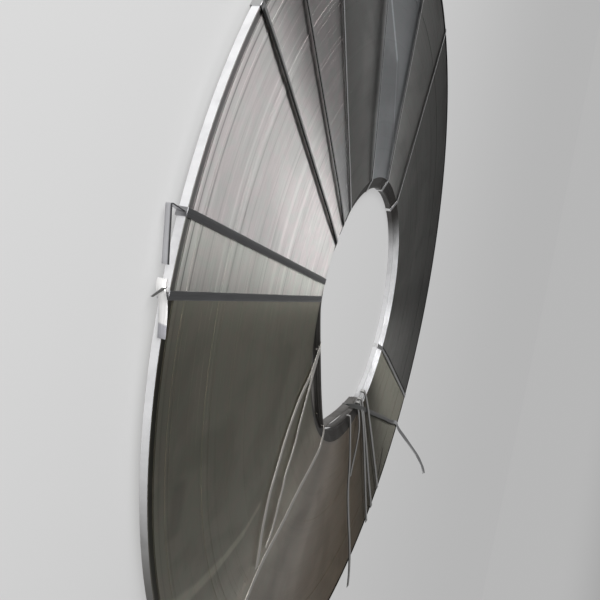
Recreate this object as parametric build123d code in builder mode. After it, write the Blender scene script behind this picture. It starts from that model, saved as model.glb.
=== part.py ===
"""Narrow slit steel coil: one long strip wound into a flat ring, with its steel ties.

The coil lies flat, its visible end face up and its bore along Z. The origin is on the bore's
axis, half-way up the innermost turns. Plan angles are clock angles: 0 is twelve o'clock, which
is +Y, and they grow towards nine o'clock, which is -X.
"""
import os
from math import cos, radians, sin, sqrt, tan

from build123d import *

# The wound strip
strip_width = 11.0
bore_radius = 254.0
coil_radius = 750.0

# The innermost turns have slipped towards the back, and the turns next to them slope down to them
lip_depth = 3.0
lip_slip = 9.0
slope_depth = 19.0

# Groups of turns that stand a little forward or back: radial depth, and how far forward.
# The inner one is counted from the sloping turns outwards, the outer ones from the rim inwards,
# and the plain turns between them take what is left.
inner_groups = [(158.0, -0.3)]
outer_groups = [(4.0, 0.0), (8.0, -1.3), (21.0, -0.3), (78.0, 0.0), (12.0, 0.4)]

# The ties and loose straps are cut from the same flat steel strap
strap_width = 10.0
strap_thickness = 0.6
strap_gap = 0.15

# Where each tie crosses the bore and the rim, as clock angles
ties = {
    "tie_1": (32.6, 35.7),
    "tie_2": (38.8, 42.3),
    "tie_3": (18.2, 16.0),
    "tie_4": (10.0, 7.6),
    "tie_5": (2.8, -3.9),
    "tie_6": (-23.0, -24.4),
    "tie_7": (-48.4, -47.3),
    "tie_8": (-72.6, -68.4),
    "tie_9": (-156.5, -157.5),
}

# The free ends of two ties, bent off the rim: how far the strap leans back and how far its run
# rises towards the front, in degrees, then the points that it passes, each as a distance along
# the rim and a distance off it
fold_radius = 1.2
tails = {
    "tie_1": (16.0, 3.0, [(0.0, 0.0), (-3.0, 18.0), (26.0, 14.5), (57.0, 6.5)]),
    "tie_2": (-6.0, 10.0, [(-3.0, 0.0), (-17.0, 4.5), (-4.0, 9.0), (7.0, 2.5), (26.0, 1.4), (44.0, 2.0)]),
}

# Loose straps: the clock angle where each hooks over the bore's edge, then the places that it
# passes on the face, each as a clock angle and a share of the way from the bore to the rim
hook_length = 9.0
hook_lead = 4.0
twist_length = 20.0
straight_length = 10.0
strap_lean = 42.0
loose_straps = {
    "loose_strap_1": (68.0, [(72.5, 0.207), (78.2, 0.318), (83.2, 0.422), (88.9, 0.518), (93.2, 0.584)]),
    "loose_strap_2": (73.2, [(80.2, 0.173), (84.8, 0.247), (89.5, 0.347), (92.7, 0.437), (93.9, 0.498)]),
    "loose_strap_3": (107.5, [(104.2, 0.189), (100.2, 0.299), (98.4, 0.403), (95, 0.579), (95, 0.783)]),
    "loose_strap_4": (151.5, [(153.1, 0.245), (153.8, 0.387), (156, 0.547), (159.8, 0.927), (160.5, 1.134)]),
    "loose_strap_5": (162.8, [(161, 0.183), (158.6, 0.239), (156, 0.291)]),
    "loose_strap_6": (165.8, [(168.2, 0.25), (169.4, 0.442), (170.1, 0.646), (170.3, 0.803), (170.6, 0.994)]),
    "loose_strap_7": (168.8, [(170.7, 0.234), (171.7, 0.384), (173.1, 0.731), (174.1, 0.978)]),
    "loose_strap_8": (174.4, [(175.5, 0.236), (176.7, 0.387), (177.7, 0.6), (178.2, 0.779), (178.5, 0.956)]),
    "loose_strap_9": (180.0, [(183.3, 0.328), (189.5, 0.559), (192.9, 0.779), (195.2, 0.93), (195, 0.982)]),
}

# The end of one loose strap springs up past the rim: distances onwards and heights above the face
sprung_ends = {
    "loose_strap_9": [(0, 0), (12, 1), (46, 16), (115, 35), (188, 60), (250, 71), (337, 77)],
}

# Heights that the pieces share
face_z = lip_slip + strip_width / 2
lip_front_z = face_z - lip_slip
lip_back_z = lip_front_z - strip_width
slope_end = bore_radius + lip_depth + slope_depth
steps = [step for _, step in inner_groups + outer_groups]
highest_z = face_z + max(steps)
lowest_back_z = face_z - strip_width + min(steps)
flat_z = highest_z + strap_gap
flat_middle_z = flat_z + strap_thickness / 2
lean_height = strap_width * sin(radians(strap_lean)) + strap_thickness * cos(radians(strap_lean))
lean_middle_z = flat_z + lean_height / 2


def plan_point(clock, radius):
    """The point of the plan at a clock angle and a distance from the axis."""
    return Vector(-radius * sin(radians(clock)), radius * cos(radians(clock)), 0)


def face_point(clock, share):
    """The point of the plan at a clock angle and a share of the way from the bore to the rim."""
    return plan_point(clock, bore_radius + share * (coil_radius - bore_radius))


def corner_radii(points):
    """For each corner of a route, an arc as large as the two runs beside it allow."""
    radii = []
    for before, corner, after in zip(points, points[1:], points[2:]):
        run_in = Vector(*corner) - Vector(*before)
        run_out = Vector(*after) - Vector(*corner)
        turn = radians(run_in.get_angle(run_out))
        radii.append(0.45 * min(run_in.length, run_out.length) / tan(turn / 2))
    return radii


def front_outline():
    """The front of the wound section, from the bore to the rim."""
    points = [
        (bore_radius, lip_front_z),
        (bore_radius + lip_depth, lip_front_z),
        (slope_end, face_z + inner_groups[0][1]),
    ]
    plain_depth = coil_radius - slope_end - sum(depth for depth, _ in inner_groups + outer_groups)
    radius = slope_end
    for depth, step in inner_groups + [(plain_depth, 0.0)] + outer_groups[::-1]:
        points.append((radius, face_z + step))
        radius += depth
        points.append((radius, face_z + step))
    return [point for i, point in enumerate(points) if i == 0 or point != points[i - 1]]


def build_coil():
    """The wound strip as one turned solid: every turn is as wide as the strip."""
    front = front_outline()
    back = [(radius, z - strip_width) for radius, z in front[::-1]]
    with BuildPart() as coil:
        with BuildSketch(Plane.XZ):
            with BuildLine():
                Polyline(*front, *back, close=True)
            make_face()
        revolve(axis=Axis.Z)
    return coil


def taut_section(clearance):
    """The section that a strap pulled tight round the turns encloses, at a clearance from them."""
    corners = [
        (bore_radius, lip_front_z),
        (slope_end, highest_z),
        (coil_radius, highest_z),
        (coil_radius, lowest_back_z),
        (bore_radius + lip_depth, lip_back_z),
        (bore_radius, lip_back_z),
    ]
    with BuildSketch(Plane.XZ) as section:
        with BuildLine():
            Polyline(*corners, close=True)
        make_face()
        offset(amount=clearance, kind=Kind.INTERSECTION)
    return section.sketch


def build_tie(bore_clock, rim_clock, tail):
    """A closed band of strap, snug against the section from the bore to the rim."""
    start = plan_point(bore_clock, bore_radius)
    end = plan_point(rim_clock, coil_radius)
    run = (end - start).normalized()
    middle = (start + end) / 2
    with BuildPart() as tie:
        revolve(taut_section(strap_gap + strap_thickness), axis=Axis.Z)
        with BuildSketch(Plane(origin=(middle.X, middle.Y, 0), x_dir=run, z_dir=(0, 0, 1))):
            Rectangle(coil_radius, strap_width)
        extrude(amount=coil_radius, both=True, mode=Mode.INTERSECT)
        if tail:
            extrude(tail_profile(rim_clock, *tail), amount=strap_width / 2, both=True)
        revolve(taut_section(strap_gap), axis=Axis.Z, mode=Mode.SUBTRACT)
    return tie


def tail_profile(rim_clock, lean, rise, route):
    """The side view of a tie's free end: strap bent off the rim, on its leaning plane."""
    up = Vector(0, 0, 1)
    outward = plan_point(rim_clock, 1)
    along = up.cross(outward) * cos(radians(rise)) + up * sin(radians(rise))
    across = along.cross(outward) * cos(radians(lean)) - outward * sin(radians(lean))
    root = outward * (coil_radius + strap_gap + strap_thickness / 2) + up * (face_z - strip_width / 2)
    with BuildSketch(Plane(origin=root, x_dir=along, z_dir=across)) as profile:
        with BuildLine():
            FilletPolyline(*route, radius=fold_radius)
            offset(amount=strap_thickness, side=Side.LEFT)
        make_face()
    return profile.sketch


def side_view(place, onward):
    """The upright plane through a place that a strap's side view is drawn on."""
    return Plane(origin=place, x_dir=onward, z_dir=onward.cross(Vector(0, 0, 1)))


def strap_section(place, onward, lean):
    """A strap's section across its run at a lean, with its centre at a place."""
    with BuildSketch(Plane(origin=place, x_dir=Vector(0, 0, 1).cross(onward), z_dir=onward)) as section:
        Rectangle(strap_width, strap_thickness, rotation=lean)
    return section.sketch


def build_loose_strap(hook_clock, route, sprung_end):
    """A slack strap: flat where it hooks over the bore, then turned up on one edge."""
    outward = plan_point(hook_clock, 1)
    flat_rise = Vector(0, 0, flat_middle_z)
    lean_rise = Vector(0, 0, lean_middle_z)
    wall_x = sqrt(bore_radius**2 - (strap_width / 2) ** 2) - strap_gap
    hook_z = lip_front_z + strap_gap
    lead_x = slope_end + hook_lead
    hook = [(wall_x, hook_z - hook_length), (wall_x, hook_z), (slope_end, flat_z), (lead_x, flat_z)]
    path_start = outward * (lead_x + twist_length)
    path_bend = path_start + outward * straight_length
    points = [path_start, path_bend] + [face_point(clock, share) for clock, share in route]
    with BuildPart() as strap:
        with BuildSketch(side_view((0, 0, 0), outward)):
            with BuildLine():
                Polyline(*hook)
                offset(amount=strap_thickness, side=Side.LEFT, kind=Kind.ARC)
            make_face()
        extrude(amount=strap_width / 2, both=True)
        start_section = strap_section(path_start + lean_rise, outward, strap_lean)
        loft([strap_section(outward * lead_x + flat_rise, outward, 0), start_section], ruled=True)
        with BuildLine(Plane.XY.offset(lean_middle_z)) as path:
            FilletPolyline(*points, radius=corner_radii(points))
        sweep(start_section, path=path.wire())
        if sprung_end:
            onward = path.wire() % 1
            flat_start = points[-1] + onward * twist_length
            end_section = strap_section(points[-1] + lean_rise, onward, strap_lean)
            loft([end_section, strap_section(flat_start + flat_rise, onward, 0)], ruled=True)
            with BuildSketch(side_view(flat_start + Vector(0, 0, flat_z), onward)):
                with BuildLine():
                    FilletPolyline(*sprung_end, radius=corner_radii(sprung_end))
                    offset(amount=strap_thickness, side=Side.LEFT)
                make_face()
            extrude(amount=strap_width / 2, both=True)
    return strap


os.makedirs("parts", exist_ok=True)

coil = build_coil()
coil.part.label = "coil"
export_step(coil.part, "parts/coil.step")

for name, (bore_clock, rim_clock) in ties.items():
    tie = build_tie(bore_clock, rim_clock, tails.get(name))
    tie.part.label = name
    export_step(tie.part, f"parts/{name}.step")

for name, (hook_clock, route) in loose_straps.items():
    strap = build_loose_strap(hook_clock, route, sprung_ends.get(name))
    strap.part.label = name
    export_step(strap.part, f"parts/{name}.step")
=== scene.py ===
"""The looks of a narrow slit steel coil: its wound faces, its steel ties and its loose straps."""
import random
from math import cos, pi, radians, sin, sqrt

import bmesh
import bpy
from mathutils import Matrix, Vector, noise


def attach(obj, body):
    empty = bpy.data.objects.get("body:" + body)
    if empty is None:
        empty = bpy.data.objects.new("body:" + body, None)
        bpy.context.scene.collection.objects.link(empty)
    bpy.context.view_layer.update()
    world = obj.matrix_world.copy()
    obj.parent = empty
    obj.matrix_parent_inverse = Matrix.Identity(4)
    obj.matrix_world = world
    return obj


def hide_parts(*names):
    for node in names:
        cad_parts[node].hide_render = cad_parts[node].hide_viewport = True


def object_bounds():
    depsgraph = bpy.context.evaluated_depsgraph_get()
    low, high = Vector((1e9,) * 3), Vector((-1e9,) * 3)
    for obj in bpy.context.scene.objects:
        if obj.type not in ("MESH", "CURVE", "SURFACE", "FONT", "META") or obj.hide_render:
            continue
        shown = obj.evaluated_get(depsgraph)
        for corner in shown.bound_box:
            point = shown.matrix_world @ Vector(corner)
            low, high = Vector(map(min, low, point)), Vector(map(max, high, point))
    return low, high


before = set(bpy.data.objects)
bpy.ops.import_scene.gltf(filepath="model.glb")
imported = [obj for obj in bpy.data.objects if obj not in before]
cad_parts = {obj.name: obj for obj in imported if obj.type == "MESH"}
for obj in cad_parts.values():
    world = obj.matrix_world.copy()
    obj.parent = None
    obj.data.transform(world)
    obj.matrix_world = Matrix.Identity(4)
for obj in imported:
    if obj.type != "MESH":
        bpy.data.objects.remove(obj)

cad_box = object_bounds()

MM = 0.001
UP = Vector((0, 0, 1))

# The wound strip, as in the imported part
strip_width = 11.0 * MM
bore_radius = 254.0 * MM
rim_radius = 750.0 * MM
lip_depth = 3.0 * MM
slope_end = 276.0 * MM
face_height = 14.5 * MM
highest_turn = 14.9 * MM
lowest_back = 2.2 * MM
lip_front = 5.5 * MM
lip_back = -5.5 * MM

# The flat strap of the ties and the loose lengths
strap_width = 10.0 * MM
strap_thickness = 0.6 * MM
strap_gap = 0.15 * MM
strap_rest = strap_gap + strap_thickness / 2
front_rest = highest_turn + strap_rest

# Where each tie crosses the bore and the rim, as clock angles in degrees, how far the middle of
# its front run stands off the face and how much higher one edge lifts than the other
ties = {
    "tie_1": (32.6, 35.7, 1.4, 0.8),
    "tie_2": (38.8, 42.3, 0.6, 0.2),
    "tie_3": (18.2, 16.0, 2.2, 1.4),
    "tie_4": (10.0, 7.6, 2.4, 1.8),
    "tie_5": (2.8, -3.9, 0.8, 1.2),
    "tie_6": (-23.0, -24.4, 1.6, 2.2),
    "tie_7": (-48.4, -47.3, 0.8, 1.2),
    "tie_8": (-72.6, -68.4, 0.8, 1.2),
    "tie_9": (-156.5, -157.5, 2.4, 2.4),
}

# The free ends of two ties: along the rim, off the rim and height, in millimetres, then the
# lean of the strap's width away from upright, in degrees
tails = {
    "tie_1": [
        (0, 0.4, 9, 8), (-1, 9, 7, 12), (-3, 17, 4, 16), (-2, 18.4, 4, 16), (3, 17.6, 4.5, 16),
        (16, 15.2, 6, 16), (32, 12.4, 7.5, 14), (57, 6.5, 9.5, 10),
    ],
    "tie_2": [
        (-3, 0.4, 9, 0), (-12, 1.8, 8, 0), (-17, 4.5, 7, -6), (-13, 7.6, 8, -12), (-4, 8.6, 10, -12),
        (4, 4.4, 11, -8), (9, 2.3, 12, -4), (26, 1.4, 14.5, 0), (44, 2.0, 17, 4),
    ],
}

# A narrow torn end that sticks out of the second one's knot
torn_ends = {
    "tie_2": [(-8, 6.5, 13, 0), (-5, 9.2, 12, 0), (-2, 10.4, 9, 10), (1, 10.8, 6, 20), (4, 11.5, 3, 30)],
}
torn_share = 0.45

# Loose straps: how far the strap leans on the face, in degrees, how far it stands off it between
# the places where it touches, then the plan points that it passes from the hook outwards, both in
# millimetres
loose_straps = {
    "loose_strap_1": (0, 2.0, [
        (-203, 128), (-225, 122), (-247, 118), (-269, 112), (-296, 115), (-340, 107), (-382, 93),
        (-422, 72), (-460, 55), (-490, 30), (-511, 10), (-529, -14), (-548, -36),
    ]),
    "loose_strap_2": (-3, 1.4, [
        (-207, 121), (-221, 119), (-245, 109), (-290, 83), (-335, 58), (-356, 41), (-392, 27),
        (-409, 21), (-426, 5), (-449, -7), (-470, -23), (-493, -35), (-512, -39),
    ]),
    "loose_strap_3": (4, 1.8, [
        (-246, -72), (-259, -86), (-282, -95), (-308, -90), (-337, -85), (-396, -71), (-449, -66),
        (-497, -54), (-539, -46), (-580, -47), (-640, -56),
    ]),
    "loose_strap_4": (14, 3.4, [
        (-125, -211), (-141, -254), (-158, -299), (-174, -349), (-195, -394), (-209, -452),
        (-222, -519), (-232, -596), (-246, -669), (-255, -698), (-272, -752), (-286, -790),
    ]),
    "loose_strap_5": (12, 4.4, [
        (-78, -246), (-92, -298), (-110, -323), (-134, -345), (-159, -360), (-179, -381),
    ]),
    "loose_strap_6": (12, 3.4, [
        (-64, -244), (-66, -300), (-75, -386), (-86, -465), (-99, -566), (-109, -643), (-120, -737),
    ]),
    "loose_strap_7": (14, 3.0, [
        (-52, -246), (-58, -331), (-62, -389), (-66, -448), (-70, -526), (-74, -612), (-75, -735),
    ]),
    "loose_strap_8": (12, 3.6, [
        (-31, -244), (-29, -296), (-29, -362), (-26, -445), (-23, -551), (-20, -658), (-19, -728),
    ]),
    "loose_strap_9": (0, 2.0, [
        (-134, -152), (-105, -197), (-69, -255), (-30, -322), (24, -416), (86, -522), (141, -623),
        (188, -692),
    ]),
}

# The end of the last one springs up past the rim, twisting: plan point, height over the face and
# how far the strap turns up on its edge, in degrees
sprung_ends = {
    "loose_strap_9": [
        (195, -736, 1.5, 10), (202, -781, 16, 40), (213, -850, 35, 60), (224, -922, 56, 60),
        (233, -983, 67, 5), (239, -1020, 70, 60), (245, -1062, 71, 60),
    ],
}

# The innermost turns hang slack inside the bore: how far each one's front edge is behind the face,
# how much wider than its route it lies, and its route. The kinked route fell against the bore, and
# the tight one is still near it.
kinked_route = [
    (-150, 232), (-177, 209), (-189, 177), (-202, 133), (-215, 84), (-227, 38), (-240, -23), (-247, -74),
    (-247, -76), (-209, -106), (-155, -155), (-94, -200), (-72, -213),
]
tight_route = [
    (-252, -20), (-250, -48), (-244, -72), (-222, -112), (-186, -162), (-128, -211), (-96, -228),
]
slack_turns = [
    (0.0, 0.0, kinked_route), (4.5, 0.006, kinked_route), (9.0, 0.012, kinked_route),
    (5.0, 0.0, tight_route), (9.0, 0.004, tight_route),
]


def plan_point(clock, radius):
    """The point of the plan at a clock angle and a distance from the axis."""
    return Vector((-radius * sin(radians(clock)), radius * cos(radians(clock)), 0))


# Shader nodes

def add_node(tree, kind, inputs=None, **settings):
    """A node with its settings; each input takes a value or another node's output."""
    node = tree.nodes.new(kind)
    for name, value in settings.items():
        setattr(node, name, value)
    for name, value in (inputs or {}).items():
        if isinstance(value, bpy.types.NodeSocket):
            tree.links.new(value, node.inputs[name])
        else:
            node.inputs[name].default_value = value
    return node


def place_group(tree, group, inputs=None):
    """A node group placed in a material with its own values."""
    return add_node(tree, "ShaderNodeGroup", inputs, node_tree=group).outputs


def maths(tree, operation, *values, clamp=False):
    """One arithmetic step."""
    inputs = dict(enumerate(values))
    return add_node(tree, "ShaderNodeMath", inputs, operation=operation, use_clamp=clamp).outputs[0]


def vector_maths(tree, operation, *values, scale=None):
    """One arithmetic step on places, directions or colours."""
    inputs = dict(enumerate(values))
    if scale is not None:
        inputs["Scale"] = scale
    outputs = add_node(tree, "ShaderNodeVectorMath", inputs, operation=operation).outputs
    return outputs["Value" if operation in ("LENGTH", "DOT_PRODUCT") else "Vector"]


def ease(tree, value, start, end, low=0.0, high=1.0):
    """A smooth change from low to high while the value goes from start to end."""
    inputs = {"Value": value, "From Min": start, "From Max": end, "To Min": low, "To Max": high}
    return add_node(tree, "ShaderNodeMapRange", inputs, interpolation_type="SMOOTHSTEP").outputs[0]


def changed(tree, shade, mask, change):
    """A shade made lighter or darker by a share of itself where a mask shows."""
    return maths(tree, "MULTIPLY", shade, maths(tree, "MULTIPLY_ADD", mask, change, 1.0))


def streaked(tree, shade, streaks, gain):
    """A shade with streaks added, which are as much over a half as under it."""
    return maths(tree, "MULTIPLY_ADD", maths(tree, "SUBTRACT", streaks, 0.5), gain, shade)


def tint(tree, factor, first, second):
    """Two colours mixed by a factor."""
    inputs = {"Factor": factor, 6: first, 7: second}
    return add_node(tree, "ShaderNodeMix", inputs, data_type="RGBA").outputs[2]


def object_place(tree):
    """The place of the shaded point on the object."""
    return add_node(tree, "ShaderNodeTexCoord").outputs["Object"]


def strap_distance(tree, name):
    """A strap's own distance, in millimetres, along it or across it."""
    return add_node(tree, "ShaderNodeAttribute", attribute_name=name).outputs["Fac"]


def new_group(name, inputs, outputs):
    """An empty shader node group with named sockets."""
    group = bpy.data.node_groups.new(name, "ShaderNodeTree")
    for socket, (kind, value) in inputs.items():
        made = group.interface.new_socket(socket, in_out="INPUT", socket_type=kind)
        made.default_value = value
    for socket, kind in outputs.items():
        group.interface.new_socket(socket, in_out="OUTPUT", socket_type=kind)
    given = group.nodes.new("NodeGroupInput").outputs
    result = group.nodes.new("NodeGroupOutput").inputs
    return group, given, result


NUMBER = "NodeSocketFloat"
VECTOR = "NodeSocketVector"


def make_ring_place():
    """The radius in millimetres and the outward direction of a point on the coil."""
    group, _, result = new_group("ring_place", {}, {"Radius": NUMBER, "Outward": VECTOR})
    flat = vector_maths(group, "MULTIPLY", object_place(group), (1, 1, 0))
    length = vector_maths(group, "LENGTH", flat)
    group.links.new(maths(group, "DIVIDE", length, MM), result["Radius"])
    group.links.new(vector_maths(group, "NORMALIZE", flat), result["Outward"])
    return group


def make_turn_streaks(ring_place):
    """Streaks that follow the turns: their width across the turns, and how many go round the coil."""
    inputs = {
        "Width": (NUMBER, 2.0), "Arcs": (NUMBER, 3.0), "Detail": (NUMBER, 3.0), "Seed": (NUMBER, 0.0),
    }
    group, given, result = new_group("turn_streaks", inputs, {"Value": NUMBER})
    ring = place_group(group, ring_place)
    across = maths(group, "DIVIDE", ring["Radius"], given["Width"])
    round_place = vector_maths(group, "SCALE", ring["Outward"], scale=given["Arcs"])
    shift = {0: given["Seed"], 1: given["Seed"], 2: across}
    shift = add_node(group, "ShaderNodeCombineXYZ", shift).outputs[0]
    place = vector_maths(group, "ADD", round_place, shift)
    pattern = {"Vector": place, "Scale": 1.0, "Detail": given["Detail"], "Roughness": 0.6}
    group.links.new(add_node(group, "ShaderNodeTexNoise", pattern).outputs[0], result["Value"])
    return group


def make_turn_line(ring_place, turn_streaks):
    """One group of turns that shows lighter or darker, fading in and out round the coil."""
    inputs = {"Middle": (NUMBER, 500.0), "Width": (NUMBER, 4.0), "Fading": (NUMBER, 0.5)}
    group, given, result = new_group("turn_line", inputs, {"Mask": NUMBER})
    ring = place_group(group, ring_place)
    off = maths(group, "ABSOLUTE", maths(group, "SUBTRACT", ring["Radius"], given["Middle"]))
    half = maths(group, "DIVIDE", given["Width"], 2)
    inside = maths(group, "SUBTRACT", 1.5, maths(group, "DIVIDE", off, half), clamp=True)
    wander = {"Width": 90.0, "Arcs": 1.6, "Detail": 1.0, "Seed": given["Middle"]}
    wander = place_group(group, turn_streaks, wander)["Value"]
    hidden = maths(group, "SUBTRACT", 1, ease(group, wander, 0.42, 0.58))
    faded = maths(group, "MULTIPLY", hidden, given["Fading"])
    mask = maths(group, "MULTIPLY", inside, maths(group, "SUBTRACT", 1, faded))
    group.links.new(mask, result["Mask"])
    return group


def make_between_ties():
    """The part of the face between two ties, from each one's side and its distance off the axis."""
    inputs = {
        "First Side": (VECTOR, (0, 0, 0)), "First Offset": (NUMBER, 0.0),
        "Second Side": (VECTOR, (0, 0, 0)), "Second Offset": (NUMBER, 0.0),
    }
    soft_edge = 3 * MM
    group, given, result = new_group("between_ties", inputs, {"Mask": NUMBER})
    place = object_place(group)
    masks = []
    for which in ("First", "Second"):
        reach = vector_maths(group, "DOT_PRODUCT", place, given[which + " Side"])
        past = maths(group, "SUBTRACT", reach, given[which + " Offset"])
        masks.append(ease(group, past, -soft_edge, soft_edge))
    group.links.new(maths(group, "MULTIPLY", *masks), result["Mask"])
    return group


def make_straight_mark():
    """A soft straight mark on the face: its start, the way it runs, how long and how wide it is."""
    inputs = {
        "Start": (VECTOR, (0, 0, 0)), "Run": (VECTOR, (1, 0, 0)), "Side": (VECTOR, (0, 1, 0)),
        "Length": (NUMBER, 0.1), "Width": (NUMBER, 0.01),
    }
    soft_end = 6 * MM
    group, given, result = new_group("straight_mark", inputs, {"Mask": NUMBER})
    reach = vector_maths(group, "SUBTRACT", object_place(group), given["Start"])
    ahead = vector_maths(group, "DOT_PRODUCT", reach, given["Run"])
    aside = vector_maths(group, "DOT_PRODUCT", reach, given["Side"])
    aside = maths(group, "DIVIDE", maths(group, "ABSOLUTE", aside), given["Width"])
    begun = ease(group, ahead, -soft_end, soft_end)
    past = maths(group, "SUBTRACT", ahead, given["Length"])
    ended = ease(group, past, -soft_end, soft_end, 1.0, 0.0)
    inside = maths(group, "MULTIPLY", begun, ended)
    mask = maths(group, "MULTIPLY", inside, ease(group, aside, 0.2, 0.7, 1.0, 0.0))
    group.links.new(mask, result["Mask"])
    return group


def make_strap_streaks():
    """Streaks and faint dents along a strap, and a mask of its two slit edges for a painted highlight.
    """
    inputs = {"Length": (NUMBER, 60.0), "Width": (NUMBER, 1.2), "Detail": (NUMBER, 3.0)}
    group, given, result = new_group("strap_streaks", inputs, {"Value": NUMBER, "Edge": NUMBER})
    across = strap_distance(group, "across")
    place = {
        0: maths(group, "DIVIDE", strap_distance(group, "along"), given["Length"]),
        1: maths(group, "DIVIDE", across, given["Width"]),
    }
    place = add_node(group, "ShaderNodeCombineXYZ", place).outputs[0]
    pattern = {"Vector": place, "Scale": 1.0, "Detail": given["Detail"]}
    group.links.new(add_node(group, "ShaderNodeTexNoise", pattern).outputs[0], result["Value"])
    half = strap_width / MM / 2
    edge = ease(group, maths(group, "ABSOLUTE", across), half - 0.9, half - 0.2)
    group.links.new(edge, result["Edge"])
    return group


def make_smudges():
    """Soft cloudy marks of handling and oil."""
    inputs = {"Size": (NUMBER, 80.0), "Low": (NUMBER, 0.45), "High": (NUMBER, 0.65)}
    group, given, result = new_group("smudges", inputs, {"Mask": NUMBER})
    scale = maths(group, "DIVIDE", 1 / MM, given["Size"])
    pattern = {"Vector": object_place(group), "Scale": scale, "Detail": 4.0, "Distortion": 0.6}
    cloud = add_node(group, "ShaderNodeTexNoise", pattern).outputs[0]
    group.links.new(ease(group, cloud, given["Low"], given["High"]), result["Mask"])
    return group


# The wound face

# Groups of turns that show on the face: radius and width in millimetres, then how much lighter
# or darker they are and how far they fade round the coil
turn_lines = [
    (291, 4, 0.10, 0.6), (332, 3, -0.22, 0.5), (350, 6, 0.12, 0.6), (382, 4, -0.2, 0.7),
    (395, 2, -0.1, 0.6), (410, 5, 0.12, 0.5), (436, 3, 0.12, 0.6), (450, 2.5, -0.2, 0.5),
    (462, 8, 0.14, 0.5), (480, 2, -0.12, 0.6), (498, 9, 0.13, 0.5), (526, 2.5, -0.2, 0.5),
    (530, 3, 0.12, 0.4), (537, 2, -0.15, 0.6), (566, 2, -0.12, 0.6), (604, 2, -0.12, 0.6),
    (612, 5, 0.12, 0.6), (624, 3, -0.28, 0.4), (635, 11, 0.13, 0.4), (644, 2.5, -0.25, 0.5),
    (654, 4, 0.12, 0.6), (684, 2, -0.12, 0.5), (712, 3, -0.35, 0.2), (720, 11, 0.12, 0.2),
    (729, 2.5, -0.45, 0.1), (736, 4, 0.16, 0.1),
]

# Streaks along the turns: width across the turns in millimetres, how many go round the coil, their
# detail and the noise's shift
fine_streaks = {"Width": 2.2, "Arcs": 8.0, "Detail": 5.0}
broad_streaks = {"Width": 14.0, "Arcs": 2.2, "Detail": 2.0, "Seed": 7.0}
wide_streaks = {"Width": 60.0, "Arcs": 1.5, "Detail": 1.0, "Seed": 19.0}
groove_streaks = {"Width": 1.4, "Arcs": 2.0, "Detail": 2.0, "Seed": 31.0}
fine_gain, broad_gain, wide_gain = 0.4, 0.2, 0.2

# Straight marks across the face: first and last plan point and width in millimetres, then how much
# lighter or darker they are. The first two are a painted highlight line between tie_6 and tie_7.
straight_marks_and_painted_light = [
    ((268, 535), (294, 402), 9, 1.1), ((294, 402), (250, 236), 6, 0.45),
    ((-485, 66), (-540, 78), 10, 0.3), ((-540, 78), (-600, 110), 14, 0.42),
    ((-600, 110), (-660, 155), 18, 0.42), ((-660, 155), (-715, 215), 22, 0.35),
    ((65, -641), (4, -712), 10, -0.95), ((-596, 334), (-646, 284), 30, -0.18),
    ((146, 560), (120, 430), 60, 0.14), ((-357, -498), (-300, -712), 40, 0.12),
    ((-300, 60), (-420, 30), 50, 0.12),
]

# The stretches of the face between two ties, going clockwise: how much lighter or darker each is
# painted, as painted highlight and painted shade for the light its slit edges return, how far they lean
# round the coil, how clearly their turns show and their tint
pinkish, greenish, bluish = (1.0, 0.97, 0.965), (0.99, 0.985, 0.94), (0.9, 0.95, 1.0)
yellowish, brownish, plain = (1.0, 0.975, 0.83), (1.0, 0.82, 0.62), (0.99, 0.99, 0.96)
stretches = {
    ("tie_2", "tie_1"): (1.08, 0.0, 1.0, greenish),
    ("tie_1", "tie_3"): (1.1, 0.0, 1.0, pinkish),
    ("tie_3", "tie_4"): (1.2, 0.0, 0.8, pinkish),
    ("tie_4", "tie_5"): (1.5, 0.1, 0.35, pinkish),
    ("tie_5", "tie_6"): (0.58, 0.1, 0.3, plain),
    ("tie_6", "tie_7"): (0.78, 0.1, 0.3, bluish),
    ("tie_7", "tie_8"): (0.68, 0.1, 0.25, plain),
    ("tie_8", "tie_9"): (0.48, 0.1, 0.25, plain),
    ("tie_9", "tie_2"): (0.84, -0.14, 0.25, yellowish),
}
lower_stretch = ("tie_9", "tie_2")

# A painted highlight, lighter from the rim inwards: the two radii, then the value at each, and
# the change in the lower stretch, which takes most of it back
inward_painted_highlight = (720.0, 300.0, 0.84, 1.3)
lower_inward_change = (720.0, 300.0, 0.2, -0.2)

# Painted shade on the sides of the coil that the face darkens towards: the clock angle, how near to
# it the change begins and ends, as the cosine of the angle between, and the share of light left there
painted_darker_sides = [(196, 0.72, 0.96, 0.5), (134, 0.8, 0.96, 0.82)]

# Painted shade in a band just inside the rim and by the left of the bore's edge: where each begins
# and ends, and how much darker it is. A smooth change is given as the two values that it goes
# between, and where it isn't from 0 to 1, as what it gives at each.
rim_band_inside = (737.0, 739.5)
rim_band_outside = (747.0, 749.5, 1.0, 0.4)
rim_band_painted_shade = -0.72
bore_shade_outwards = (262.0, 286.0, 1.0, 0.0)
bore_shade_leftwards = (-0.1, -0.7)
bore_shade_change = -0.7

# Brown oil shows on the lower left
brown_downwards = (0.3, -0.7)
brown_leftwards = (0.1, -0.35)

smudges_on_face = {"Size": 130.0}
smudge_change = -0.1
mottle_on_face = {"Size": 22.0, "Low": 0.4, "High": 0.6}
pink_mottle = (0.60, 0.58, 0.58, 1)
green_mottle = (0.575, 0.585, 0.575, 1)

slit_roughness = 0.40
fine_roughness = 0.10
smudge_roughness = 0.05
slit_brushing = 0.97
groove_depth = 0.25 * MM
groove_strength = 0.35

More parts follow.
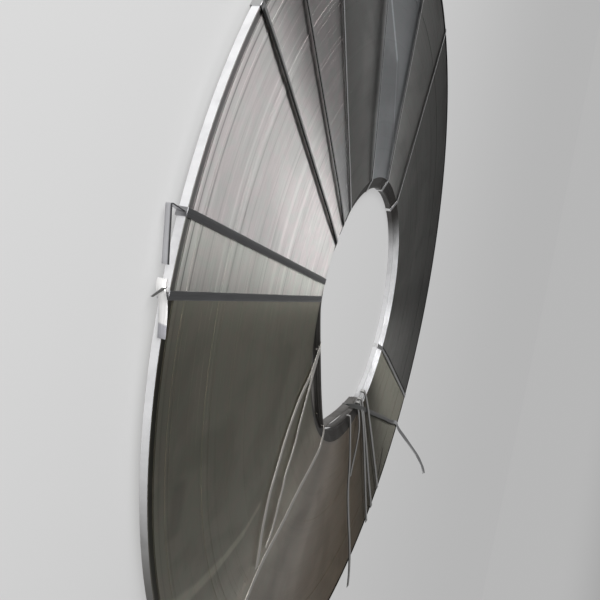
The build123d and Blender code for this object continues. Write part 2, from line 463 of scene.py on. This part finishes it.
# The rolled side of the strip: painted shade darkens its rim downwards and fills its bore, all but
# the lower right of the bore, which stays bright
grain_on_side = {"Width": 40.0, "Arcs": 60.0, "Detail": 3.0}
grain_gain = 0.16
smudges_on_side = {"Size": 60.0}
side_smudge_change = -0.12
side_smudge_roughness = 0.12
rim_shade_downwards = (0.64, 0.32)
bore_bright_rightwards = (-0.3, -0.1)
bore_bright_downwards = (0.2, -0.3)
between_bore_and_rim = (400.0, 500.0)
# Streaks that lighten the painted shade on the slack turns
turn_shade_streaks = {"Width": 30.0, "Arcs": 6.0}
turn_shade_lightening = (0.5, 0.75)

bright_steel = (0.92, 0.92, 0.93, 1)
# Painted shade: on the slack turns, on the lower rim and in the bore
turn_shade_light = (0.2, 0.195, 0.185, 1)
rim_shade_colour = (0.14, 0.135, 0.125, 1)
bore_shade_colour = (0.09, 0.085, 0.08, 1)
turn_shade_dark = (0.22, 0.21, 0.2, 1)
dull_end = (0.42, 0.42, 0.45, 1)


def tie_side(name):
    """The direction across a tie, clockwise round the coil, and the tie's distance off the axis."""
    bore_clock, rim_clock = ties[name][:2]
    start = plan_point(bore_clock, bore_radius)
    side = (plan_point(rim_clock, rim_radius) - start).normalized().cross(UP)
    return side, start.dot(side)


def new_material(name):
    """A material, its node tree and its shader."""
    material = bpy.data.materials.new(name)
    material.use_nodes = True
    tree = material.node_tree
    return material, tree, tree.nodes["Principled BSDF"]


def stretch_values(tree, groups):
    """The painted light and shade, lean, clarity and hue of each stretch between two ties, and the lower
    stretch's mask.
    """
    painted_tone = lean = clarity = 0.0
    hue = (0.0, 0.0, 0.0)
    masks = {}
    for (first, second), (painted_light, leaning, clear, stretch_tint) in stretches.items():
        first_side, first_off = tie_side(first)
        second_side, second_off = tie_side(second)
        mask = place_group(tree, groups["between_ties"], {
            "First Side": first_side, "First Offset": first_off,
            "Second Side": -second_side, "Second Offset": -second_off,
        })["Mask"]
        painted_tone = maths(tree, "MULTIPLY_ADD", mask, painted_light, painted_tone)
        lean = maths(tree, "MULTIPLY_ADD", mask, leaning, lean)
        clarity = maths(tree, "MULTIPLY_ADD", mask, clear, clarity)
        hue = vector_maths(tree, "MULTIPLY_ADD", mask, stretch_tint, hue)
        masks[first, second] = mask
    return painted_tone, lean, clarity, hue, masks[lower_stretch]


def turn_shade(tree, groups, fine):
    """The shade, about 1, that the streaks and the groups of turns give."""
    broad = place_group(tree, groups["turn_streaks"], broad_streaks)["Value"]
    wide = place_group(tree, groups["turn_streaks"], wide_streaks)["Value"]
    shade = 1.0
    for streaks, gain in ((fine, fine_gain), (broad, broad_gain), (wide, wide_gain)):
        shade = streaked(tree, shade, streaks, gain)
    for middle, width, change, fading in turn_lines:
        line = {"Middle": float(middle), "Width": float(width), "Fading": fading}
        mask = place_group(tree, groups["turn_line"], line)["Mask"]
        shade = maths(tree, "MULTIPLY_ADD", mask, change, shade)
    return shade


def mark_shade(tree, groups, shade):
    """The shade with the straight marks on it, a painted highlight among them."""
    for mark_start, mark_end, width, change in straight_marks_and_painted_light:
        mark_start = Vector((*mark_start, 0)) * MM
        reach = Vector((*mark_end, 0)) * MM - mark_start
        run = reach.normalized()
        mask = place_group(tree, groups["straight_mark"], {
            "Start": mark_start, "Run": run, "Side": UP.cross(run),
            "Length": reach.length, "Width": width * MM,
        })["Mask"]
        shade = changed(tree, shade, mask, change)
    return shade


def painted_face_shade(tree, ring, direction, shade):
    """The shade with painted shade on the darker sides of the coil, in a band inside its rim and by its
    bore.
    """
    radius = ring["Radius"]
    for clock, begins, ends, left in painted_darker_sides:
        nearness = vector_maths(tree, "DOT_PRODUCT", ring["Outward"], plan_point(clock, 1))
        shade = maths(tree, "MULTIPLY", shade, ease(tree, nearness, begins, ends, 1.0, left))
    inside, outside = ease(tree, radius, *rim_band_inside), ease(tree, radius, *rim_band_outside)
    shade = changed(tree, shade, maths(tree, "MULTIPLY", inside, outside), rim_band_painted_shade)
    by_bore = ease(tree, radius, *bore_shade_outwards)
    by_left = ease(tree, direction["X"], *bore_shade_leftwards)
    return changed(tree, shade, maths(tree, "MULTIPLY", by_bore, by_left), bore_shade_change)


def slit_edge_material(groups):
    """The wound face: the slit edges of hundreds of turns side by side."""
    material, tree, shader = new_material("slit_edges")
    ring = place_group(tree, groups["ring_place"])
    direction = add_node(tree, "ShaderNodeSeparateXYZ", {0: ring["Outward"]}).outputs
    fine = place_group(tree, groups["turn_streaks"], fine_streaks)["Value"]
    smudge = place_group(tree, groups["smudges"], smudges_on_face)["Mask"]
    painted_tone, lean, clarity, hue, lower_face = stretch_values(tree, groups)

    shade = maths(tree, "SUBTRACT", turn_shade(tree, groups, fine), 1.0)
    shade = maths(tree, "MULTIPLY_ADD", shade, clarity, 1.0)
    # The painted highlight and painted shade of each stretch
    shade = maths(tree, "MULTIPLY", shade, painted_tone)
    # The painted highlight growing towards the bore, mostly taken back in the lower stretch
    shade = maths(tree, "MULTIPLY", shade, ease(tree, ring["Radius"], *inward_painted_highlight))
    shade = changed(tree, shade, lower_face, ease(tree, ring["Radius"], *lower_inward_change))
    shade = mark_shade(tree, groups, shade)
    shade = painted_face_shade(tree, ring, direction, shade)
    shade = changed(tree, shade, smudge, smudge_change)

    by_low = ease(tree, direction["Y"], *brown_downwards)
    by_left = ease(tree, direction["X"], *brown_leftwards)
    hue = tint(tree, maths(tree, "MULTIPLY", by_low, by_left), hue, (*brownish, 1))
    mottle = place_group(tree, groups["smudges"], mottle_on_face)["Mask"]
    coloured = vector_maths(tree, "MULTIPLY", tint(tree, mottle, pink_mottle, green_mottle), hue)
    coloured = vector_maths(tree, "SCALE", coloured, scale=shade)
    tree.links.new(coloured, shader.inputs["Base Color"])

    shader.inputs["Metallic"].default_value = 1.0
    rough = maths(tree, "MULTIPLY_ADD", fine, fine_roughness, slit_roughness)
    rough = maths(tree, "MULTIPLY_ADD", smudge, smudge_roughness, rough)
    tree.links.new(rough, shader.inputs["Roughness"])
    shader.inputs["Anisotropic"].default_value = slit_brushing
    tree.links.new(ring["Outward"], shader.inputs["Tangent"])

    onward = vector_maths(tree, "CROSS_PRODUCT", ring["Outward"], UP)
    upright = add_node(tree, "ShaderNodeNewGeometry").outputs["Normal"]
    leaned = vector_maths(tree, "ADD", upright, vector_maths(tree, "SCALE", onward, scale=lean))
    leaned = vector_maths(tree, "NORMALIZE", leaned)
    grooves = place_group(tree, groups["turn_streaks"], groove_streaks)["Value"]
    bump = {
        "Height": grooves, "Strength": groove_strength, "Distance": groove_depth, "Normal": leaned,
    }
    tree.links.new(add_node(tree, "ShaderNodeBump", bump).outputs[0], shader.inputs["Normal"])
    return material


def rolled_side(groups, name, colour, metallic, roughness):
    """The plain rolled side of the strip, which shows on the rim and in the bore."""
    material, tree, shader = new_material(name)
    grain = place_group(tree, groups["turn_streaks"], grain_on_side)["Value"]
    smudge = place_group(tree, groups["smudges"], smudges_on_side)["Mask"]
    shade = changed(tree, streaked(tree, 1.0, grain, grain_gain), smudge, side_smudge_change)
    coloured = vector_maths(tree, "SCALE", colour(tree, groups), scale=shade)
    tree.links.new(coloured, shader.inputs["Base Color"])
    shader.inputs["Metallic"].default_value = metallic
    rough = maths(tree, "MULTIPLY_ADD", smudge, side_smudge_roughness, roughness)
    tree.links.new(rough, shader.inputs["Roughness"])
    return material


def outer_wrap_colour(tree, groups):
    """Bright on the upper rim and on the lower right of the bore, with painted shade on the rest."""
    ring = place_group(tree, groups["ring_place"])
    direction = add_node(tree, "ShaderNodeSeparateXYZ", {0: ring["Outward"]}).outputs
    rim = tint(tree, ease(tree, direction["Y"], *rim_shade_downwards), bright_steel, rim_shade_colour)
    by_right = ease(tree, direction["X"], *bore_bright_rightwards)
    by_low = ease(tree, direction["Y"], *bore_bright_downwards)
    bore = tint(tree, maths(tree, "MULTIPLY", by_right, by_low), bore_shade_colour, bright_steel)
    return tint(tree, ease(tree, ring["Radius"], *between_bore_and_rim), bore, rim)


def shaded_turn_colour(tree, groups):
    """Painted shade on the turns that hang in the bore, lighter in streaks round the coil."""
    streaks = place_group(tree, groups["turn_streaks"], turn_shade_streaks)["Value"]
    return tint(tree, ease(tree, streaks, *turn_shade_lightening), turn_shade_dark, turn_shade_light)


# The materials of the straps

# A tie's run over the face, in millimetres along the strap
front_run = 468.0

# Painted shade along one side of a strap: how it fades in across the strap and out along it, and the
# share of colour left where it is darkest, on bare and on duller steel
shade_fading_across = 1.8
shade_fading_along = 5.0
darkest_bare = 0.04
darkest_dull = 0.12
streaks_on_strap = {"Length": 45.0, "Width": 1.1, "Detail": 3.0}
streak_gain = 0.5
dents_on_strap = {"Length": 14.0, "Width": 9.0, "Detail": 2.0}
dent_depth = 0.5 * MM
dent_strength = 0.3
dent_roughness = 0.15
strap_roughness = 0.24


def unshaded_share(tree, side, begins, ends=None):
    """How much of a strap is left out of its painted shade.

    The painted shade lies along one side of it, from a distance across the strap, and may end at one
    along it.
    """
    toward_side = maths(tree, "MULTIPLY", strap_distance(tree, "across"), side)
    unshaded = ease(tree, toward_side, begins, begins + shade_fading_across, 1.0, 0.0)
    if ends is not None:
        past_shade = ease(tree, strap_distance(tree, "along"), ends, ends + shade_fading_along)
        unshaded = maths(tree, "MAXIMUM", unshaded, past_shade)
    return unshaded


def end_colour(tree, colour, begins, fading, coloured):
    """A strap's colour, and another one past a distance along it."""
    past = ease(tree, strap_distance(tree, "along"), begins, begins + fading)
    return tint(tree, past, (*colour, 1), coloured)


def strap_material(groups, name, colour, slit_edge_highlight, metallic=1.0, shaded_side=(), end=()):
    """Flat steel strap with lengthwise streaks and a painted highlight on its slit edges.

    It may have painted shade along one side, where it would lie in shadow, and an end of another
    colour.
    """
    material, tree, shader = new_material(name)
    streaks = place_group(tree, groups["strap_streaks"], streaks_on_strap)
    dents = place_group(tree, groups["strap_streaks"], dents_on_strap)["Value"]
    shade = streaked(tree, 1.0, streaks["Value"], streak_gain)
    # A painted highlight along the slit edges
    shade = maths(tree, "MULTIPLY_ADD", streaks["Edge"], slit_edge_highlight, shade)
    shader.inputs["Metallic"].default_value = metallic
    if shaded_side:
        # The painted shade also takes the metal and the shine off bare steel, so that it shows black
        bare = metallic == 1.0
        unshaded = unshaded_share(tree, *shaded_side)
        if bare:
            tree.links.new(unshaded, shader.inputs["Metallic"])
            shader.inputs["Specular IOR Level"].default_value = 0.0
        darkest = darkest_bare if bare else darkest_dull
        shading = maths(tree, "MULTIPLY_ADD", unshaded, 1 - darkest, darkest)
        shade = maths(tree, "MULTIPLY", shade, shading)
    if end:
        colour = end_colour(tree, colour, *end)
    tree.links.new(vector_maths(tree, "SCALE", colour, scale=shade), shader.inputs["Base Color"])
    rough = maths(tree, "MULTIPLY_ADD", dents, dent_roughness, strap_roughness)
    tree.links.new(rough, shader.inputs["Roughness"])
    bump = {"Height": dents, "Strength": dent_strength, "Distance": dent_depth}
    tree.links.new(add_node(tree, "ShaderNodeBump", bump).outputs[0], shader.inputs["Normal"])
    return material


# The wound coil

turn_group_width = 4.0 * MM
turn_sink = 0.22 * MM
sink_shares = (0.2, 0.5, 0.7, 1.0)
uneven_widths = (0.5, 1.5)
turn_wander = 0.12 * MM
wander_arcs = 2.2
wander_width = 30 * MM
edge_round = 0.3 * MM
sharp_edge = radians(20)
spin_steps = 180
visible_rim = rim_radius - 0.25 * MM
rim_begins = rim_radius - 2 * MM


def finish_mesh(name, bm):
    """An object in the scene with this mesh."""
    mesh = bpy.data.meshes.new(name)
    bm.to_mesh(mesh)
    bm.free()
    piece = bpy.data.objects.new(name, mesh)
    bpy.context.collection.objects.link(piece)
    return piece


def front_outline():
    """The front of the coil's section from bore to rim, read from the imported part's seam."""
    heights = {}
    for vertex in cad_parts["coil"].data.vertices:
        if vertex.co.x > 0 and abs(vertex.co.y) < 0.01 * MM:
            heights.setdefault(round(vertex.co.x, 6), set()).add(round(vertex.co.z, 6))
    outline = []
    for radius in sorted(heights):
        both = sorted(heights[radius])
        front = both[len(both) // 2:]
        if outline and abs(front[0] - outline[-1][1]) > abs(front[-1] - outline[-1][1]):
            front.reverse()
        outline += [(radius, height) for height in front]
    return outline


def turned_outline(outline, sink_sign):
    """The outline cut into small groups of turns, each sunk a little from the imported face."""
    points = []
    for (inner, inner_z), (outer, outer_z) in zip(outline, outline[1:]):
        if outer - inner < edge_round:
            continue
        sloping = abs(outer_z - inner_z) > edge_round
        group_width = turn_group_width / 2 if sloping else turn_group_width
        count = max(1, round((outer - inner) / group_width))
        widths = [random.uniform(*uneven_widths) for _ in range(count)]
        travelled = 0.0
        for width in widths:
            sunk = sink_sign * random.choice(sink_shares) * turn_sink
            ends = [(travelled + step) / sum(widths) for step in (0, width)]
            level = ends[0] if sink_sign < 0 else ends[1]
            for share in ends:
                radius = min(inner + (outer - inner) * share, visible_rim)
                points.append((radius, inner_z + (outer_z - inner_z) * level + sunk))
            travelled += width
    return points


def rounded_outline(outline, sink_sign):
    """The turned outline with the bore's and the rim's edge broken."""
    points = turned_outline(outline, sink_sign)
    bore_edge, rim_edge = points[0], points[-1]
    points[0] = (bore_edge[0] + edge_round, bore_edge[1])
    points[-1] = (rim_edge[0] - edge_round, rim_edge[1])
    below = sink_sign * edge_round
    return [(bore_edge[0], bore_edge[1] + below), *points, (rim_edge[0], rim_edge[1] + below)]


def build_wound_coil(materials):
    """The coil as one turned mesh with the relief of its turns on both faces."""
    outline = front_outline()
    front = rounded_outline(outline, -1)
    back = rounded_outline([(radius, height - strip_width) for radius, height in outline], 1)
    bm = bmesh.new()
    corners = [bm.verts.new((radius, 0, height)) for radius, height in front + back[::-1]]
    for corner, following in zip(corners, corners[1:] + corners[:1]):
        bm.edges.new((corner, following))
    bmesh.ops.spin(
        bm, geom=bm.verts[:] + bm.edges[:], cent=(0, 0, 0), axis=UP, angle=2 * pi, steps=spin_steps,
        use_merge=True,
    )
    bmesh.ops.recalc_face_normals(bm, faces=bm.faces)
    for face in bm.faces:
        face.smooth = True
        heights = [vertex.co.z for vertex in face.verts]
        radius = face.calc_center_median().xy.length
        upright = max(heights) - min(heights) > turn_sink * 1.5
        in_bore = radius < slope_end - edge_round
        on_rim = upright and radius > rim_begins
        face.material_index = 1 if in_bore or on_rim else 0
    for edge in bm.edges:
        edge.smooth = edge.calc_face_angle(0) < sharp_edge
    for vertex in bm.verts:
        outward = vertex.co.xy.normalized() * wander_arcs
        spot = Vector((outward.x, outward.y, vertex.co.xy.length / wander_width))
        toward_middle = -1 if vertex.co.z > face_height - strip_width / 2 else 1
        vertex.co.z += toward_middle * turn_wander * (0.5 + 0.5 * noise.noise(spot))
    coil = finish_mesh("wound_coil", bm)
    for material in materials:
        coil.data.materials.append(material)
    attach(coil, "root")
    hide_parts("coil")


# Straps

strap_shares = (-0.5, 0.0, 0.5)
route_steps = 6
broken_edge = 0.12 * MM


def smooth_line(points, closed=False):
    """Places along the smooth curve that these control points give."""
    curve = bpy.data.curves.new("route", "CURVE")
    curve.dimensions = "3D"
    curve.resolution_u = route_steps
    spline = curve.splines.new("NURBS")
    spline.points.add(len(points) - 1)
    for point, place in zip(spline.points, points):
        point.co = (*place, 1)
    spline.order_u = 3
    spline.use_cyclic_u = closed
    spline.use_endpoint_u = not closed
    holder = bpy.data.objects.new("route", curve)
    mesh = bpy.data.meshes.new_from_object(holder)
    line = [vertex.co.copy() for vertex in mesh.vertices]
    bpy.data.objects.remove(holder)
    bpy.data.meshes.remove(mesh)
    return line


def lay_strap(bm, control, closed=False, material_index=0):
    """A strip of flat strap, from the control points that a share of its width gives."""
    along = bm.verts.layers.float.get("along") or bm.verts.layers.float.new("along")
    across = bm.verts.layers.float.get("across") or bm.verts.layers.float.new("across")
    loops = []
    for share in strap_shares:
        verts = [bm.verts.new(place) for place in smooth_line(control(share), closed)]
        travelled = 0.0
        for i, vert in enumerate(verts):
            travelled += (vert.co - verts[i - 1].co).length if i else 0.0
            vert[along] = travelled / MM
            vert[across] = share * strap_width / MM
        pairs = zip(verts, verts[1:] + verts[:1] if closed else verts[1:])
        loops.append([bm.edges.new(pair) for pair in pairs])
    for first, second in zip(loops, loops[1:]):
        for face in bmesh.ops.bridge_loops(bm, edges=first + second)["faces"]:
            face.material_index = material_index


def finish_strap(name, bm, materials):
    """The strap given its thickness and its slightly broken edges."""
    bmesh.ops.recalc_face_normals(bm, faces=bm.faces)
    for face in bm.faces:
        face.smooth = True
    piece = finish_mesh(name, bm)
    solid = piece.modifiers.new("thickness", "SOLIDIFY")
    solid.thickness = strap_thickness
    solid.offset = 0
    broken = piece.modifiers.new("broken_edges", "BEVEL")
    broken.width = broken_edge
    broken.segments = 1
    broken.limit_method = "ANGLE"
    for material in materials:
        piece.data.materials.append(material)
    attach(piece, "root")
    return piece


# Ties

corner_round = 1.2 * MM
inside_bore = 20 * MM
bow_stations = 12
bow_fullness = 2.4


def reach_radius(start, run, radius):
    """How far along the run a line that starts inside a circle meets it."""
    ahead = start.dot(run)
    return -ahead + sqrt(ahead ** 2 - start.length_squared + radius ** 2)


def tie_control(name, share):
    """Control points of a tie's closed loop round the section, at a share of its width."""
    bore_clock, rim_clock, bow, lift = ties[name]
    start = plan_point(bore_clock, bore_radius)
    run = (plan_point(rim_clock, rim_radius) - start).normalized()
    start = start + UP.cross(run) * strap_width * share - run * inside_bore
    bore_at = reach_radius(start, run, bore_radius - strap_rest)
    slope_at = reach_radius(start, run, slope_end)
    lip_at = reach_radius(start, run, bore_radius + lip_depth)
    rim_at = reach_radius(start, run, rim_radius + strap_rest)
    corners = [
        (slope_at, front_rest), (rim_at, front_rest),
        (rim_at, lowest_back - strap_rest), (lip_at, lip_back - strap_rest),
        (bore_at, lip_back - strap_rest), (bore_at, lip_front + strap_rest),
    ]
    corners = [Vector(corner) for corner in corners]
    control = []
    for i, corner in enumerate(corners):
        into = (corner - corners[i - 1]).normalized()
        out = (corners[(i + 1) % len(corners)] - corner).normalized()
        control += [corner - into * corner_round, corner, corner + out * corner_round]
        if i == 0:
            for station in range(1, bow_stations):
                onward = station / bow_stations
                rise = (bow + lift * share) * MM * min(1.0, bow_fullness * sin(pi * onward))
                control.append(Vector((slope_at + (rim_at - slope_at) * onward, front_rest + rise)))
    return [start + run * distance + UP * height for distance, height in control]


def tail_control(name, route, share):
    """Control points of a tie's free end, at a share of the strap's width."""
    outward = plan_point(ties[name][1], 1)
    onward = UP.cross(outward)
    control = []
    for run, off, height, lean in route:
        place = outward * (rim_radius + strap_rest + off * MM) + onward * run * MM + UP * height * MM
        across = UP * cos(radians(lean)) + outward * sin(radians(lean))
        control.append(place + across * strap_width * share)
    return control


def build_tie(name, materials):
    """A tie round the coil's section, with its free end where it has one."""
    bm = bmesh.new()
    lay_strap(bm, lambda share: tie_control(name, share), closed=True)
    if name in tails:
        lay_strap(bm, lambda share: tail_control(name, tails[name], share), material_index=1)
    if name in torn_ends:
        torn = torn_ends[name]
        lay_strap(bm, lambda share: tail_control(name, torn, share * torn_share), material_index=2)
    piece = finish_strap(name + "_strap", bm, materials)
    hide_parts(name)


# Loose straps

# How a strap hooks over the bore's edge: how far inside its first plan point, and how high over
# the front, in millimetres
hook_places = [(0.6, -9.0), (0.8, -3.0), (0.2, 0.6)]
# How many plan points it takes to reach its full lean
leaning_points = 3


def loose_control(name, share):
    """Control points of a loose strap, at a share of its width."""
    lean, lift, route = loose_straps[name]
    points = [Vector((x, y, 0)) * MM for x, y in route]
    inward = -points[0].normalized()
    hook = points[0] + inward.cross(UP) * strap_width * share
    control = []
    for off, height in hook_places:
        control.append(hook + inward * off * MM + UP * (front_rest + height * MM))
    for i, point in enumerate(points[1:], 1):
        ahead = points[min(i + 1, len(points) - 1)]
        run = (ahead - points[i - 1]).normalized()
        turned = radians(lean * min(1.0, i / leaning_points))
        across = UP.cross(run) * cos(turned) + UP * sin(turned)
        touching = strap_width / 2 * abs(sin(turned))
        rise = touching + lift * MM * min(1.0, 2 * sin(pi * i / len(points)))
        control.append(point + UP * (front_rest + rise) + across * strap_width * share)
    before = points[-1] + UP * front_rest
    for x, y, height, twist in sprung_ends.get(name, []):
        place = Vector((x, y, height)) * MM + UP * front_rest
        run = (place - before).normalized()
        flat = UP.cross(run).normalized()
        across = flat * cos(radians(twist)) + run.cross(flat) * sin(radians(twist))
        control.append(place + across * strap_width * share)
        before = place
    return control


def build_loose_strap(name, material):
    """A loose length of strap, hooked over the bore's edge."""
    bm = bmesh.new()
    lay_strap(bm, lambda share: loose_control(name, share))
    piece = finish_strap(name + "_length", bm, [material])
    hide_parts(name)


# Slack turns

turn_thickness = 1.0 * MM


def slack_control(behind, wider, route, share):
    """Control points of a slack turn, at a share of the strip's width."""
    height = face_height - behind * MM - strip_width * (0.5 - share)
    return [Vector((x, y, 0)) * MM * (1 + wider) + UP * height for x, y in route]


def build_slack_turns(materials):
    """The innermost turns, come loose from the others and kinked where they fell in the bore."""
    bm = bmesh.new()
    for turn in slack_turns:
        lay_strap(bm, lambda share: slack_control(*turn, share))
    piece = finish_strap("slack_turns", bm, materials)
    piece.modifiers["thickness"].thickness = turn_thickness
    piece.modifiers["thickness"].material_offset_rim = 1


# Stage

floor_size = 60.0
floor_shade = 0.27
floor_lift = 0.42
window_place = Vector((-0.35, 2.2, 1.15))
window_aim = Vector((-0.1, 0.3, 0.0))
window_power = 66.0
window_size = (3.2, 0.9)
horizon_shade = 0.47
upper_shade = 0.14
horizon_heights = (0.08, 0.25)


def build_floor():
    """A plain pale floor under the coil, lifted a little for the camera and for reflections."""
    bm = bmesh.new()
    bmesh.ops.create_grid(bm, x_segments=1, y_segments=1, size=floor_size)
    bmesh.ops.translate(bm, verts=bm.verts, vec=(0, 0, cad_box[0][2]))
    floor = finish_mesh("floor", bm)
    material = bpy.data.materials.new("pale_floor")
    material.use_nodes = True
    tree = material.node_tree
    tree.nodes.remove(tree.nodes["Principled BSDF"])
    rays = add_node(tree, "ShaderNodeLightPath").outputs
    seen = maths(tree, "MAXIMUM", rays["Is Glossy Ray"], rays["Is Transmission Ray"])
    seen = maths(tree, "MAXIMUM", rays["Is Camera Ray"], seen)
    matt = {"Color": (floor_shade, floor_shade, floor_shade, 1)}
    matt = add_node(tree, "ShaderNodeBsdfDiffuse", matt).outputs[0]
    glow = {"Strength": maths(tree, "MULTIPLY", seen, floor_lift)}
    glow = add_node(tree, "ShaderNodeEmission", glow).outputs[0]
    both = add_node(tree, "ShaderNodeAddShader", {0: matt, 1: glow})
    tree.links.new(both.outputs[0], tree.nodes["Material Output"].inputs["Surface"])
    floor.data.materials.append(material)


def build_lights():
    """One wide soft window beyond twelve o'clock and above the face, and a soft room round it."""
    lamp = bpy.data.lights.new("wide_window", "AREA")
    lamp.shape = "RECTANGLE"
    lamp.size, lamp.size_y = window_size
    lamp.energy = window_power
    light = bpy.data.objects.new("wide_window", lamp)
    light.location = window_place
    light.rotation_mode = "QUATERNION"
    light.rotation_quaternion = (window_place - window_aim).to_track_quat("Z", "Y")
    bpy.context.collection.objects.link(light)
    world = bpy.data.worlds.new("soft_room")
    bpy.context.scene.world = world
    world.use_nodes = True
    tree = world.node_tree
    direction = add_node(tree, "ShaderNodeTexCoord").outputs["Generated"]
    height = add_node(tree, "ShaderNodeSeparateXYZ", {0: direction}).outputs["Z"]
    shade = ease(tree, height, *horizon_heights, horizon_shade, upper_shade)
    colour = add_node(tree, "ShaderNodeCombineColor", {0: shade, 1: shade, 2: shade}).outputs[0]
    tree.links.new(colour, tree.nodes["Background"].inputs["Color"])
    tree.nodes["Background"].inputs["Strength"].default_value = 1.0


# Camera, as in the photograph: the coil seen from outside its rim, low over its face

camera_place = Vector((-857.2, 1003.7, 365.8)) * MM
camera_right = Vector((0.3747, -0.1296, 0.918))
camera_down = Vector((-0.7009, -0.6877, 0.189))
camera_lens = 39.16
sensor_width = 36
nearest_seen = 0.05


def build_camera():
    """The camera at its place, turned as its right and down directions say."""
    data = bpy.data.cameras.new("camera")
    data.lens = camera_lens
    data.sensor_width = sensor_width
    data.clip_start = nearest_seen
    camera = bpy.data.objects.new("camera", data)
    right = camera_right.normalized()
    up = -(camera_down - right * camera_down.dot(right)).normalized()
    turn = Matrix((right, up, right.cross(up))).transposed().to_4x4()
    camera.matrix_world = Matrix.Translation(camera_place) @ turn
    bpy.context.collection.objects.link(camera)
    bpy.context.scene.camera = camera


random.seed(5)
build_floor()
build_lights()
build_camera()

ring_place = make_ring_place()
turn_streaks = make_turn_streaks(ring_place)
groups = {
    "ring_place": ring_place,
    "turn_streaks": turn_streaks,
    "turn_line": make_turn_line(ring_place, turn_streaks),
    "between_ties": make_between_ties(),
    "straight_mark": make_straight_mark(),
    "strap_streaks": make_strap_streaks(),
    "smudges": make_smudges(),
}

slit_edges = slit_edge_material(groups)
outer_wrap = rolled_side(groups, "outer_wrap", outer_wrap_colour, 0.4, 0.36)
shaded_slack_turns = rolled_side(groups, "shaded_slack_turns", shaded_turn_colour, 1.0, 0.4)

# Each strap's steel: its colour and how bright the painted highlight on its slit edges is, then the
# side its painted shade is on, how far across it begins and how far along it ends, or how far along
# its end begins, how long the change of colour is and the end's colour
# The ties are all one steel, painted as darker and lighter copies for the light that each one catches
dark_painted_tie_steel = strap_material(groups, "dark_painted_tie_steel", (0.34, 0.34, 0.35), 0.3)
# Ties 3 to 9 have painted shade along one side, where their gap over the face would be in shadow
shaded_edge_tie_steel = strap_material(
    groups, "shaded_edge_tie_steel", (0.6, 0.6, 0.6), 0.1, shaded_side=(1.0, -1.4, front_run)
)
light_painted_tie_steel = strap_material(
    groups, "light_painted_tie_steel", (0.9, 0.9, 0.9), 0.1, shaded_side=(1.0, 0.2, front_run)
)
# The first tie's free end has painted shade along one side
tail_steel = strap_material(
    groups, "tail_steel", (0.6, 0.6, 0.62), 0.1, metallic=0.8, shaded_side=(1.0, 1.8)
)
folded_tail_steel = strap_material(
    groups, "folded_tail_steel", (0.92, 0.91, 0.9), 0.05, metallic=0.4, end=(61.0, 3.0, dull_end)
)
plain_loose_steel = strap_material(groups, "plain_loose_steel", (0.62, 0.59, 0.55), 0.2, metallic=0.6)
# Loose straps 4 to 8 have painted shade along one side
loose_steel = strap_material(
    groups, "loose_steel", (0.75, 0.74, 0.72), 0.2, metallic=0.8, shaded_side=(-1.0, 0.8)
)
# Loose strap 9's end is painted bright past 560 mm along, a painted highlight where it springs up off
# the face into the light
dark_loose_steel = strap_material(
    groups, "dark_loose_steel", (0.16, 0.16, 0.155), 0.2, end=(560.0, 60.0, bright_steel)
)

# Each tie's steel, then that of its free end and of its torn end
tie_finishes = {
    "tie_1": [dark_painted_tie_steel, tail_steel, dark_loose_steel],
    "tie_2": [dark_painted_tie_steel, folded_tail_steel, dark_loose_steel],
    "tie_3": [shaded_edge_tie_steel],
    "tie_4": [shaded_edge_tie_steel],
}
loose_finishes = {
    "loose_strap_1": plain_loose_steel,
    "loose_strap_2": plain_loose_steel,
    "loose_strap_3": plain_loose_steel,
    "loose_strap_9": dark_loose_steel,
}

build_wound_coil([slit_edges, outer_wrap])
for name in ties:
    build_tie(name, tie_finishes.get(name, [light_painted_tie_steel]))
build_slack_turns([shaded_slack_turns, slit_edges])
for name in loose_straps:
    build_loose_strap(name, loose_finishes.get(name, loose_steel))

bpy.context.scene.view_settings.view_transform = "Standard"
